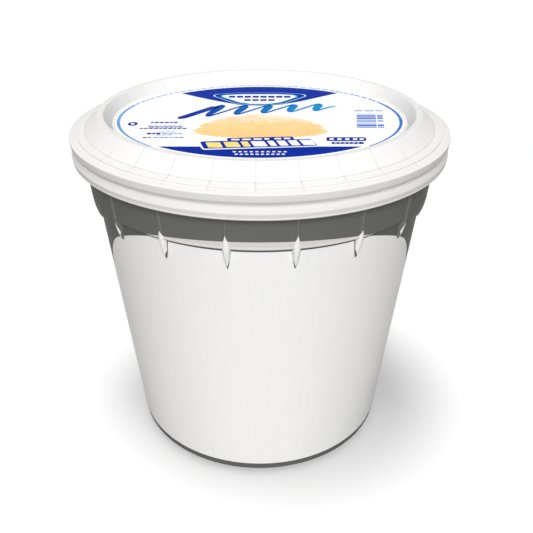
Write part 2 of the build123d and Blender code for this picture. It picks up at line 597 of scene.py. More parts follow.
@dataclass(frozen=True)
class PrintedIceCream(Finish):
    """Printed picture of a vanilla scoop.

    Process ink: pale cream on the crown that deepens to custard near the bottom, with the
    crumbly dark and light grain of scraped ice cream.
    """

    crown: str = "#FFFCF0"
    middle: str = "#FFE1A4"
    middle_share: float = 0.55   # how far up the picture that colour lies
    foot: str = "#FFD58E"
    pit: str = "#F8C880"
    top: float = 2.0             # height of the picture's upper edge on the label
    bottom: float = -39.0
    crumb: float = 1.3           # size of the scraped grain
    fold: float = 6.0            # size of the softer folds
    shallow: float = 0.3         # value of the grain from which the pits show
    deep: float = 0.16           # value at which they are deepest
    pit_strength: float = 0.5
    roughness: float = 0.32
    specular: float = 0.003
    ior: float = 1.5

    def shader(self, tree: bpy.types.NodeTree, place: bpy.types.NodeSocket) -> bpy.types.Node:
        """Cream to custard with scraped grain.

        Args:
            tree: The material's node tree.
            place: Coordinates in the row frame, in metres.

        Returns:
            The surface shader's node.
        """
        axes = add_node(tree, "ShaderNodeSeparateXYZ", {"Vector": place})
        share = add_node(tree, "ShaderNodeMapRange",
                         {"Value": axes.outputs["Y"], "From Min": self.bottom * MM,
                          "From Max": self.top * MM})
        ramp = add_node(tree, "ShaderNodeValToRGB", {"Fac": share.outputs["Result"]})
        stops = ramp.color_ramp.elements
        stops[0].color = linear(self.foot)
        stops[1].color = linear(self.crown)
        stops.new(self.middle_share).color = linear(self.middle)
        folds = add_node(tree, "ShaderNodeTexNoise",
                         {"Vector": place, "Scale": per_metre(self.fold), "Detail": 2.0})
        crumbs = add_node(tree, "ShaderNodeTexNoise",
                          {"Vector": place, "Scale": per_metre(self.crumb), "Detail": 4.0,
                           "Roughness": 0.7})
        both = add_node(tree, "ShaderNodeMath", {0: folds.outputs["Fac"], 1: crumbs.outputs["Fac"]},
                        operation="MULTIPLY")
        depth = add_node(tree, "ShaderNodeMapRange",
                         {"Value": both.outputs["Value"], "From Min": self.deep,
                          "From Max": self.shallow, "To Min": self.pit_strength, "To Max": 0.0})
        cream = add_node(tree, "ShaderNodeMix",
                         {"Factor": depth.outputs["Result"], "A": ramp.outputs["Color"],
                          "B": linear(self.pit)}, data_type="RGBA")
        return add_node(tree, "ShaderNodeBsdfPrincipled",
                        {"Base Color": cream.outputs["Result"], "Roughness": self.roughness,
                         "IOR": self.ior, "Specular IOR Level": self.specular})


# Dark grey polypropylene, coloured in the mass: even and slightly waxy, never mirror bright.
GREY_TUB = MouldedPolypropylene("grey_moulded_polypropylene", "#6B6B6A", "#666666",
                                roughness=0.46, specular=0.015)
# The ribs: the same plastic, a little lighter as a painted highlight on their rounded sides.
HIGHLIGHTED_RIB = MouldedPolypropylene("grey_rib_painted_highlight_polypropylene", "#757574", "#70706F", specular=0.03)
# White polypropylene: bright satin whose thin edges glow a little from light inside it.
WHITE_LID = MouldedPolypropylene("white_moulded_polypropylene", "#EAE9E8", "#E6E5E4",
                                 roughness=0.4, specular=0.03, scatter=0.03)
# Small dots where the lines cross the bead's foot: the same plastic, dulled, and greyed as painted
# shade of a tiny pit.
SHADE_DOT = MouldedPolypropylene("painted_shade_dot_polypropylene", "#D2D2D0", "#C8C8C6", roughness=0.6)
# The lid's fine raised lines and the hoops along the bead's foot and the flange's step: the same
# plastic, dull, and greyed as painted shade.
SHADED_LINE = MouldedPolypropylene("painted_shade_line_polypropylene", "#DEDDDB", "#D6D5D3", roughness=0.55)
# White film on the wall: plain white, a little glossier than the plastic, with upright streaks.
WALL_FILM = InMouldFilm("white_wall_label_film", "#FCFCFC", "#F6F6F6")
# On the collar the film is greyed a little as painted shade.
SHADED_COLLAR_FILM = InMouldFilm("painted_shade_collar_label_film", "#E3DFDD", "#DAD6D4")
# On the flat lid the film isn't stretched, so its streaks are as long as they are wide.
LID_FILM = InMouldFilm("white_lid_label_film", "#FEFEFE", "#FBFBFB", roughness=0.3,
                       streak_length=2.2)
# Offset inks: flat, even colours with a slight mottle, as glossy as the film below them.
ROYAL_INK = OffsetInk("royal_blue_offset_ink", "#012FA4", "#02299A")
RING_INK = OffsetInk("light_blue_ring_ink", "#73A6DE", "#659BD8",
                     far_colour="#3A78CC", left=-30.0, right=70.0)
STRIPE_INK = OffsetInk("mid_blue_offset_ink", "#2F6AC4", "#3A74CC")
PALE_INK = OffsetInk("pale_cyan_offset_ink", "#BDF0FA", "#AEE8F6")
BRUSH_INK = OffsetInk("blue_to_cyan_offset_ink", "#0A31A8", "#0B2C9C",
                      far_colour="#0DA0DC", left=-38.0, right=50.0)
CYAN_INK = OffsetInk("cyan_offset_ink", "#2FC0E6", "#25B4DE")
WHITE_INK = OffsetInk("white_offset_ink", "#FDFDFD", "#F6F8FA")
YELLOW_INK = OffsetInk("custard_yellow_offset_ink", "#FFE98F", "#FBE181")
# Process print of a scoop: pale cream with a crumbly grain, which deepens to custard below.
SCOOP_INK = PrintedIceCream("printed_vanilla_scoop")


# --- sizes that the pieces share ----------------------------------------------
@dataclass(frozen=True)
class PackSizes:
    """Driving sizes of the pack. Those without a value come from the CAD frame."""

    lid_radius: float
    lid_bottom: float             # height of the lid's lower edge
    crest: float                  # height of the lid's bead, the pack's highest line
    panel: float                  # height of the lid's recessed panel
    film_top: float               # height of the lid label's upper side
    film_radius: float            # radius of the lid label
    collar_edge: float            # height of the collar's lower edge
    label_bottom: float           # height of the wall labels' lower edge
    base_radius: float = 78.5
    wall_taper: float = 0.1004    # growth of the wall's radius with its height
    collar_step: float = 2.4      # how far the collar stands out from the wall

    @classmethod
    def from_frame(cls) -> "PackSizes":
        """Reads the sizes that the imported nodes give.

        Returns:
            The pack's sizes.
        """
        lid_low, lid_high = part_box("lid")
        film_low, film_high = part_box("lid_label")
        wall_low, wall_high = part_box("label_front")
        return cls(
            lid_radius=lid_high.x / MM,
            lid_bottom=lid_low.z / MM,
            crest=lid_high.z / MM,
            panel=film_low.z / MM,
            film_top=film_high.z / MM,
            film_radius=film_high.x / MM,
            collar_edge=wall_high.z / MM,
            label_bottom=wall_low.z / MM,
        )

    def wall(self, height: float) -> float:
        """Radius of the tub's wall at a height."""
        return self.base_radius + self.wall_taper * height

    def collar(self, height: float) -> float:
        """Radius of the collar at a height."""
        return self.wall(height) + self.collar_step


# --- tub -----------------------------------------------------------------------
@dataclass
class Tub(SubAssembly):
    """The moulded tub: foot, wall, collar, rim and the ribs over the collar's edge."""

    sizes: PackSizes
    foot_width: float = 5.0       # width of the ring that the tub stands on
    foot_depth: float = 1.2       # depth of the recess inside that ring
    base_round: float = 2.5
    gate_radius: float = 2.2      # nub that the mould's gate leaves under the base
    gate_height: float = 0.5
    gate_slope: float = 0.3       # how much wider the nub is at its root
    gate_well: float = 9.0        # dished well around that nub
    well_depth: float = 0.6
    well_slope: float = 1.5
    edge_bead: float = 0.25       # soft bead along the collar's edge
    edge_bead_half: float = 0.75  # half the height of that bead
    rim_radius: float = 102.37    # rim under the lid's skirt
    rim_bottom: float = 185.2
    rim_top: float = 190.2
    rim_width: float = 12.0
    segments: int = 288
    rib_count: int = 18
    rib_start: float = 10.5       # azimuth of the first rib
    rib_proud: float = 0.6        # how far a rib stands out from the collar
    rib_half: float = 2.2         # half its width at the collar's edge
    rib_foot: float = 12.4        # height of the V below the collar's edge
    foot_swell: Flat = (1.8, 0.6)     # powers that give the V its round nose
    foot_taper: float = 0.7       # power that gives the V its slightly curved sides
    rib_flatness: float = 2.3     # how boxy a rib's section is; 2 would be round
    rib_root: float = 1.2         # how deep its root is sunk into the wall
    rib_neck: float = 7.0         # height above the collar's edge where it has narrowed
    collar_share: float = 0.66    # width on the collar as a share of the width at its edge
    tip_width: float = 0.02       # half width that is left at the V's tip

    def profile(self) -> list[Flat]:
        """Half section of the tub from the axis under the base to the axis under the lid.

        Returns:
            Radius and height of its points.
        """
        inside = self.sizes.base_radius - self.base_round - self.foot_width
        ceiling = self.foot_depth + self.well_depth
        edge = self.sizes.collar_edge
        bead = steps(edge, edge + 2 * self.edge_bead_half, 6)
        return rounded([
            (0.0, ceiling - self.gate_height, 0.0),
            (self.gate_radius, ceiling - self.gate_height, 0.3),
            (self.gate_radius + self.gate_slope, ceiling, 0.3),
            (self.gate_well, ceiling, 0.8),
            (self.gate_well + self.well_slope, self.foot_depth, 0.8),
            (inside - self.foot_depth, self.foot_depth, 0.5),
            (inside, 0.0, 0.5),
            (self.sizes.base_radius, 0.0, self.base_round),
            (self.sizes.wall(edge), edge, 0.5),
            (self.collar_skin(bead[0]), bead[0], 0.15),
            *[(self.collar_skin(height), height, 0.0) for height in bead[1:]],
            (self.sizes.collar(self.rim_bottom), self.rim_bottom, 0.3),
            (self.rim_radius, self.rim_bottom, 0.4),
            (self.rim_radius, self.rim_top, 0.4),
            (self.sizes.wall(self.rim_top) - self.rim_width, self.rim_top, 0.0),
            (0.0, self.rim_top, 0.0),
        ])

    def collar_skin(self, height: float) -> float:
        """Radius of the collar at a height, with the soft bead along its edge."""
        away = (height - self.sizes.collar_edge - self.edge_bead_half) / self.edge_bead_half
        return self.sizes.collar(height) + self.edge_bead * max(0.0, 1 - away ** 2)

    def rib_size(self, height: float) -> tuple[float, float, float]:
        """Size of a rib at a height.

        Args:
            height: Height above the base plane.

        Returns:
            The radius that it stands on, how far it stands out and half its width.
        """
        edge = self.sizes.collar_edge
        depth = self.sizes.collar_step + self.rib_proud
        if height < edge:
            share = max(0.0, (height - edge + self.rib_foot) / self.rib_foot)
            swell = (1 - (1 - share) ** self.foot_swell[0]) ** self.foot_swell[1]
            half = max(self.tip_width, self.rib_half * share ** self.foot_taper)
            return self.sizes.wall(height), depth * swell, half
        settle = min(1.0, (height - edge) / self.rib_neck)
        narrowing = 1 - (1 - self.collar_share) * (3 - 2 * settle) * settle ** 2
        return self.sizes.wall(height), depth, self.rib_half * narrowing

    def on_rib(self, azimuth: float, height: float, angle: float, lift: float) -> Point:
        """Point on a rib's skin.

        Args:
            azimuth: The rib's azimuth.
            height: Height above the base plane.
            angle: Degrees around its section, 0 on the crown and 90 at a root.
            lift: Distance above its skin.

        Returns:
            The point.
        """
        wall, depth, half = self.rib_size(height)
        share = math.sin(math.radians(angle))
        rise = (1 - min(1.0, abs(share)) ** self.rib_flatness) ** (1 / self.rib_flatness)
        side = (half + lift) * share
        return at(azimuth + math.degrees(side / wall), wall + (depth + lift) * rise, height)

    def rib_azimuths(self) -> list[float]:
        """Azimuth of each rib."""
        return [self.rib_start + 360 / self.rib_count * i for i in range(self.rib_count)]

    def build_shell(self) -> bpy.types.Object:
        """Turns the shell, which stands for the CAD tub.

        Returns:
            The piece.
        """
        shape = Shape()
        shape.lathe(self.profile(), self.segments)
        shell = shape.piece("tub_shell", GREY_TUB, Slot.TUB)
        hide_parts("tub")
        return shell

    def rib_row(self, azimuth: float, height: float) -> list[Point]:
        """Closed section of a rib at a height, with its root sunk into the wall.

        Args:
            azimuth: The rib's azimuth.
            height: Height above the base plane.

        Returns:
            The section's points.
        """
        wall, _, half = self.rib_size(height)
        turn = math.degrees(half / wall)
        row = [self.on_rib(azimuth, height, angle, 0.0) for angle in steps(-90, 90, 18)]
        return row + [at(azimuth + side * turn, wall - self.rib_root, height) for side in (1, -1)]

    def build_ribs(self) -> bpy.types.Object:
        """Makes all ribs as one piece, up to just inside the tub's rim.

        Returns:
            The piece.
        """
        edge = self.sizes.collar_edge
        heights = steps(edge - self.rib_foot, edge, 22) + steps(edge + 0.5, edge + self.rib_neck, 8)
        heights += [self.sizes.lid_bottom, self.rim_bottom + 0.5]
        shape = Shape()
        for azimuth in self.rib_azimuths():
            shape.rod([self.rib_row(azimuth, height) for height in heights])
        # The ribs' lighter grey is a painted highlight.
        return shape.piece("tub_ribs", HIGHLIGHTED_RIB, Slot.TUB, crease=50.0)

    def build(self) -> list[bpy.types.Object]:
        """Builds the shell and the ribs."""
        return [self.build_shell(), self.build_ribs()]


# --- wall label ----------------------------------------------------------------
@dataclass
class WallLabel(SubAssembly):
    """A wrap label, with its strip on the collar, greyed as painted shade, and its white leaves on the
    ribs, film with a painted highlight at their upper points.
    """

    tub: Tub
    name: str
    node: str
    facing: float = 0.0           # azimuth of the label's middle
    film: float = 0.1             # how far the film stands proud
    half_angle: float = 78.0      # azimuth of its side edges from its middle
    shoulder: float = 54.0        # azimuth where the upper corners start to fall
    corner_drop: float = 53.0     # how far they have fallen at the side edges
    rise: float = 4.7             # upper edge above the collar's edge at the middle
    bend: float = 15.56           # its fall with the square of the azimuth in radians
    bend_far: float = 5.63        # its fall with the fourth power
    corner: float = 6.0           # rounding of the lower corners
    strip_start: float = 0.35     # bare rounding of the collar's edge below the strip
    bare_wall: float = 2.1        # bare wall that shows under the collar's edge
    strip_fall: float = 23.8      # how fast the strip's upper edge falls to both sides
    leaf_share: float = 0.94      # how far the white leaf reaches over its rib's half width
    leaf_wrap: float = 0.99       # the same on the side towards the label's middle
    leaf_top: float = 8.5         # the leaf's upper tip above the collar's edge at the middle
    leaf_fall: float = 0.004      # how much lower that tip gets with the square of the azimuth
    leaf_foot: float = 2.0        # bare tip of the V below the leaf
    leaf_taper: float = 3.5       # length over which the leaf's lower end narrows to a point
    leaf_point: float = 6.0       # shortest length over which its upper end narrows
    leaf_thinning: float = 75.0   # azimuth at which a leaf would have no width left
    leaf_reach: float = 56.0      # ribs further round carry no leaf
    leaf_lift: Flat = (0.07, -0.1)    # its outer and inner side above the rib's skin
    leaf_nose: float = 0.6        # power that rounds its lower end
    leaf_flank: Flat = (2.2, 1.5)     # powers that hollow its upper end to a fine point
    thinnest: float = 0.03        # least height of the collar strip

    def top(self, azimuth: float) -> float:
        """Height of the upper edge.

        Args:
            azimuth: Degrees from the label's middle.

        Returns:
            The height above the base plane.
        """
        turn = math.radians(azimuth)
        edge = self.tub.sizes.collar_edge
        height = edge + self.rise - self.bend * turn ** 2 - self.bend_far * turn ** 4
        if abs(azimuth) > self.shoulder:
            share = (abs(azimuth) - self.shoulder) / (self.half_angle - self.shoulder)
            height -= self.corner_drop * (1 - math.sqrt(max(0.0, 1 - share ** 2)))
        return height

    def bottom(self, azimuth: float) -> float:
        """Height of the lower edge, with its rounded corners.

        Args:
            azimuth: Degrees from the label's middle.

        Returns:
            The height above the base plane.
        """
        sizes = self.tub.sizes
        left = math.radians(self.half_angle - abs(azimuth)) * sizes.wall(sizes.label_bottom)
        if left >= self.corner:
            return sizes.label_bottom
        reach = self.corner - left
        return sizes.label_bottom + self.corner - math.sqrt(max(0.0, self.corner ** 2 - reach ** 2))

    def build_sheet(self) -> bpy.types.Object:
        """Makes the film on the wall, which stands for the CAD label.

        Returns:
            The piece.
        """
        shape = Shape()
        sizes = self.tub.sizes
        ceiling = sizes.collar_edge - self.bare_wall

        def place(azimuth: float, share: float, outer: bool) -> Point:
            """Point of the film.

            Args:
                azimuth: Degrees from the label's middle.
                share: Share of the film's height there.
                outer: Whether it lies on the outer side.

            Returns:
                The point.
            """
            low = self.bottom(azimuth)
            height = low + (min(self.top(azimuth), ceiling) - low) * share
            lift = self.film if outer else -self.film
            return at(self.facing + azimuth, sizes.wall(height) + lift, height)

        shape.sheet(eased(-self.half_angle, self.half_angle, 180), steps(0, 1, 14), place)
        sheet = shape.piece(f"{self.name}_film", WALL_FILM, Slot.WALL_LABEL)
        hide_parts(self.node)
        return sheet

    def build_strip(self) -> bpy.types.Object:
        """Makes the lens of film that runs up onto the collar.

        Returns:
            The piece.
        """
        shape = Shape()
        sizes = self.tub.sizes
        start = sizes.collar_edge + self.strip_start

        def place(azimuth: float, share: float, outer: bool) -> Point:
            """Point of the strip.

            Args:
                azimuth: Degrees from the label's middle.
                share: Share of the strip's height there.
                outer: Whether it lies on the outer side.

            Returns:
                The point.
            """
            sag = self.strip_fall * (1 - math.cos(math.radians(azimuth)))
            high = max(sizes.collar_edge + self.rise - sag, start + self.thinnest)
            height = start + (high - start) * share
            lift = self.film if outer else -self.film
            return at(self.facing + azimuth, self.tub.collar_skin(height) + lift, height)

        reach = math.degrees(math.acos(1 - (self.rise - self.strip_start) / self.strip_fall))
        shape.sheet(steps(-reach, reach, 90), steps(0, 1, 14), place)
        # The strip's grey film is painted shade.
        return shape.piece(f"{self.name}_collar_strip", SHADED_COLLAR_FILM, Slot.WALL_LABEL)

    def add_leaf(self, shape: Shape, rib: float, away: float) -> None:
        """Adds the white leaf on one rib: film over the rib, whose upper point above the collar strip
        is a painted highlight.

        Args:
            shape: The mesh that takes the leaf.
            rib: The rib's azimuth.
            away: The same from the label's middle.
        """
        edge = self.tub.sizes.collar_edge
        tip = edge + self.leaf_top - self.leaf_fall * away ** 2
        foot = edge - self.tub.rib_foot + self.leaf_foot
        widest = min(edge, tip - self.leaf_point)
        width = 1 - (away / self.leaf_thinning) ** 4

        def place(side: float, height: float, outer: bool) -> Point:
            """Point of the leaf.

            Args:
                side: Share of its half width, negative on the left.
                height: Height above the base plane.
                outer: Whether it lies on the outer side.

            Returns:
                The point.
            """
            if height < widest:
                swell = min(1.0, (height - foot) / self.leaf_taper) ** self.leaf_nose
            else:
                fall = ((height - widest) / (tip - widest)) ** self.leaf_flank[0]
                swell = max(0.0, 1 - fall) ** self.leaf_flank[1]
            share = self.leaf_wrap if side * away < 0 else self.leaf_share
            reach = math.degrees(math.asin(max(0.01, share * width * swell)))
            return self.tub.on_rib(rib, height, reach * side, self.leaf_lift[0 if outer else 1])

        heights = sorted(set(steps(foot, widest, 16) + steps(widest, tip, 18)))
        shape.sheet(steps(-1, 1, 12), heights, place)

    def build_leaves(self) -> bpy.types.Object:
        """Makes the leaves on all ribs that the film runs under, with a painted highlight at their
        upper points.

        Returns:
            The piece.
        """
        shape = Shape()
        for rib in self.tub.rib_azimuths():
            away = (rib - self.facing + 180) % 360 - 180
            if abs(away) <= self.leaf_reach:
                self.add_leaf(shape, rib, away)
        # Above the collar strip the white leaves are a painted highlight.
        return shape.piece(f"{self.name}_rib_leaves_with_painted_highlight", WALL_FILM, Slot.WALL_LABEL)

    def build(self) -> list[bpy.types.Object]:
        """Builds the film on the wall, the collar strip and the rib leaves."""
        return [self.build_sheet(), self.build_strip(), self.build_leaves()]


# --- lid -------------------------------------------------------------------------
@dataclass
class Lid(SubAssembly):
    """The moulded lid: two-band skirt, flange, raised bead, recessed panel and fine lines."""

    sizes: PackSizes
    wall: float = 1.5
    skirt: float = 3.1            # radial depth of the skirt, bands included
    catch: float = 2.4            # how far the bead that holds under the tub's rim stands in
    skirt_depth: float = 15.1     # bead's foot above the skirt's lower edge
    lip: float = 0.7              # how far the lower edge stands in from the bands
    lip_height: float = 1.3       # height of that edge
    lower_band: float = 3.6       # top of the lower band above the skirt's lower edge
    groove_low: float = 6.0       # deepest line of the groove above that edge
    groove_rise: float = 3.1      # height of the groove's shaded slope
    groove_depth: float = 2.8
    upper_band: float = 2.9       # height of the upper band's upright part
    band_lean: float = 0.35       # how far the upper band leans in at its foot
    rim_round: float = 0.9
    flange_width: float = 8.7
    flange_fall: float = 2.3      # how much lower the flange's edge lies than the bead's foot
    flange_step: float = 0.7      # height of the low step round the flange
    flange_edge: float = 2.0      # width of the flange outside the fine lines
    foot_line: float = 0.75       # width of the fine line along the bead's foot
    bead_outer: float = 7.3       # width of the bead's outer slope
    crest_width: float = 3.3
    bead_inner: float = 4.2       # width of its inner slope
    segments: int = 360
    line_count: int = 30
    line_start: float = -1.1      # azimuth of the first line
    line_width: float = 0.75
    line_height: float = 0.22
    line_root: float = 0.2        # how deep the lines are sunk into the lid
    mark_radius: float = 0.45
    mark_height: float = 0.28

    def foot(self) -> Flat:
        """Radius and height of the bead's foot."""
        return self.sizes.lid_radius - self.flange_width, self.sizes.lid_bottom + self.skirt_depth

    def flange(self, out: float, drop: float, rounding: float) -> Corner:
        """Corner of the flange.

        Args:
            out: Distance from the bead's foot.
            drop: How far it lies below the flange's upper level.
            rounding: Radius that rounds it.

        Returns:
            The corner.
        """
        radius, height = self.foot()
        fall = (self.flange_fall - self.flange_step) * out / self.flange_width
        return radius + out, height - fall - drop, rounding

    def slopes(self) -> list[Corner]:
        """The top's line from the panel's edge over the bead to the flange's edge.

        Returns:
            Its corners.
        """
        crest = self.sizes.crest
        outer = self.foot()[0] - self.bead_outer
        inner = outer - self.crest_width
        middle = 0.5 * self.flange_width
        return [
            (inner - self.bead_inner, self.sizes.panel, 0.5),
            (inner, crest, 1.0),
            (outer, crest, 1.0),
            self.flange(0.0, 0.0, 0.2),
            self.flange(middle, 0.0, 0.15),
            self.flange(middle, self.flange_step, 0.15),
            self.flange(self.flange_width - self.flange_edge, self.flange_step, 0.5),
            self.flange(self.flange_width, self.flange_step, self.rim_round),
        ]

    def outside(self) -> list[Corner]:
        """The skirt's line over the lip, the lower band, the groove and the upper band.

        Returns:
            Its corners, from the lower edge up to the flange.
        """
        low = self.sizes.lid_bottom
        rim = self.sizes.lid_radius
        lip = rim - self.lip
        top = low + self.groove_low + self.groove_rise
        return [
            (lip - 0.35, low, 0.25),
            (lip + 0.05, low + 0.5, 0.3),
            (lip - 0.1, low + self.lip_height, 0.3),
            (rim - 0.15, low + self.lower_band, 1.2),
            (rim - self.groove_depth, low + self.groove_low, 1.9),
            (rim - self.band_lean, top, 0.7),
            (rim, top + self.upper_band, 1.5),
        ]

    def profile(self) -> list[Flat]:
        """Half section of the lid from the axis under the panel to the axis above it.

        Returns:
            Radius and height of its points.
        """
        foot_radius, foot_height = self.foot()
        inner = foot_radius - self.bead_outer - self.crest_width
        skirt = self.sizes.lid_radius - self.skirt
        low = self.sizes.lid_bottom
        under = self.wall
        return rounded([
            (0.0, self.sizes.panel - under, 0.0),
            (inner - self.bead_inner + 0.6 * under, self.sizes.panel - under, 0.6),
            (inner + 0.5 * under, self.sizes.crest - under, 0.6),
            (inner + self.crest_width - 0.5 * under, self.sizes.crest - under, 0.6),
            (foot_radius - 0.6 * under, foot_height - under, 0.6),
            (skirt, foot_height - self.flange_fall - 0.5 * under, 1.0),
            (skirt, low + self.groove_low + 1.4, 0.3),
            (skirt - self.catch, low + self.groove_low + 0.3, 0.5),
            (skirt - self.catch, low + self.groove_low - 1.0, 0.5),
            (skirt, low + 0.5 * self.groove_low, 0.8),
            (skirt + 0.6, low, 0.3),
            *self.outside(),
            *reversed(self.slopes()),
            (0.0, self.sizes.panel, 0.0),
        ], arc_step=9.0)

    def build_shell(self) -> bpy.types.Object:
        """Turns the lid, which stands for the CAD lid.

        Returns:
            The piece.
        """
        shape = Shape()
        shape.lathe(self.profile(), self.segments)
        shell = shape.piece("lid_shell", WHITE_LID, Slot.LID)
        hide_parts("lid")
        return shell

    def line_azimuths(self) -> list[float]:
        """Azimuth of each moulded line."""
        return [self.line_start + 360 / self.line_count * i for i in range(self.line_count)]

    def ridge(self, shape: Shape, azimuth: float, path: Sequence[Flat]) -> None:
        """Adds one moulded line that follows the lid's top.

        Args:
            shape: The mesh that takes the line.
            azimuth: The line's azimuth.
            path: Radius and height of the points that it follows, going outwards.
        """
        rows = []
        for i, (radius, height) in enumerate(path):
            ahead = path[min(i + 1, len(path) - 1)]
            behind = path[max(i - 1, 0)]
            run, rise = ahead[0] - behind[0], ahead[1] - behind[1]
            length = math.hypot(run, rise)
            up = (-rise / length, run / length)
            fade = 1.0 if 0 < i < len(path) - 1 else 0.1
            skin = [(side, self.line_height * fade * (1 - side ** 2)) for side in steps(-1, 1, 4)]
            root = [(side, -self.line_root) for side in (1, -1)]
            row = []
            for side, lift in skin + root:
                turn = azimuth + math.degrees(side * self.line_width / 2 / radius)
                row.append(at(turn, radius + up[0] * lift,
                              min(height + up[1] * lift, self.sizes.crest)))
            rows.append(row)
        shape.rod(rows)

    def build_lines(self) -> bpy.types.Object:
        """Makes the fine lines across the bead's slopes and the flange, and round them.

        Returns:
            The piece.
        """
        line = self.slopes()
        paths = (rounded(line[:3])[:-2], rounded(line[1:4])[2:],
                 [(radius, height) for radius, height, _ in line[3:7]])
        shape = Shape()
        for azimuth in self.line_azimuths():
            for path in paths:
                self.ridge(shape, azimuth, path)
        radius, height = self.foot()
        half = self.foot_line / 2
        shape.hoop([(radius - 0.7 * half, height + 0.7 * half), (radius, height + 0.12),
                    (radius + half, height), (radius, height - 0.3)], self.segments)
        (edge, upper, _), (_, lower, _) = line[4:6]
        shape.hoop([(edge - 0.2, upper - 0.3), (edge + 0.03, upper - 0.15), (edge + 0.1, upper - 0.25),
                    (edge + 0.1, lower + 0.1), (edge - 0.2, lower + 0.1)], self.segments)
        # The lines and the hoops are greyed as painted shade.
        return shape.piece("lid_moulded_lines", SHADED_LINE, Slot.LID)

    def build_marks(self) -> bpy.types.Object:
        """Makes a small grey dot of painted shade where each line crosses the bead's foot.

        Returns:
            The piece.
        """
        shape = Shape()
        radius, height = self.foot()
        for azimuth in self.line_azimuths():
            x, y, _ = at(azimuth, radius + 0.15, height)
            outline = oval((x, y), self.mark_radius, self.mark_radius, 12)
            shape.plate(outline, height - 0.3, height + self.mark_height)
        # The dots' grey is painted shade.
        return shape.piece("lid_painted_shade_dots", SHADE_DOT, Slot.LID)

    def build(self) -> list[bpy.types.Object]:
        """Builds the lid's shell, its fine lines and the dots of painted shade."""
        return [self.build_shell(), self.build_lines(), self.build_marks()]


# --- print on the lid's label ---------------------------------------------------
class Ink(Enum):
    """Pieces of the lid's print, each with its name and its finish."""

    RING = ("lid_print_ring", RING_INK)
    ROYAL = ("lid_print_royal_blue", ROYAL_INK)
    BADGE_LINE = ("lid_print_badge_line", PALE_INK)
    BADGE_GLOW = ("lid_print_badge_glow", CYAN_INK)
    WHITE = ("lid_print_white", WHITE_INK)
    BRUSH = ("lid_print_brush", BRUSH_INK)
    SCOOP = ("lid_print_scoop", SCOOP_INK)
    YELLOW = ("lid_print_yellow", YELLOW_INK)
    BLOCKS = ("lid_print_blocks", WHITE_INK)
    STRIPES = ("lid_print_stripes", STRIPE_INK)


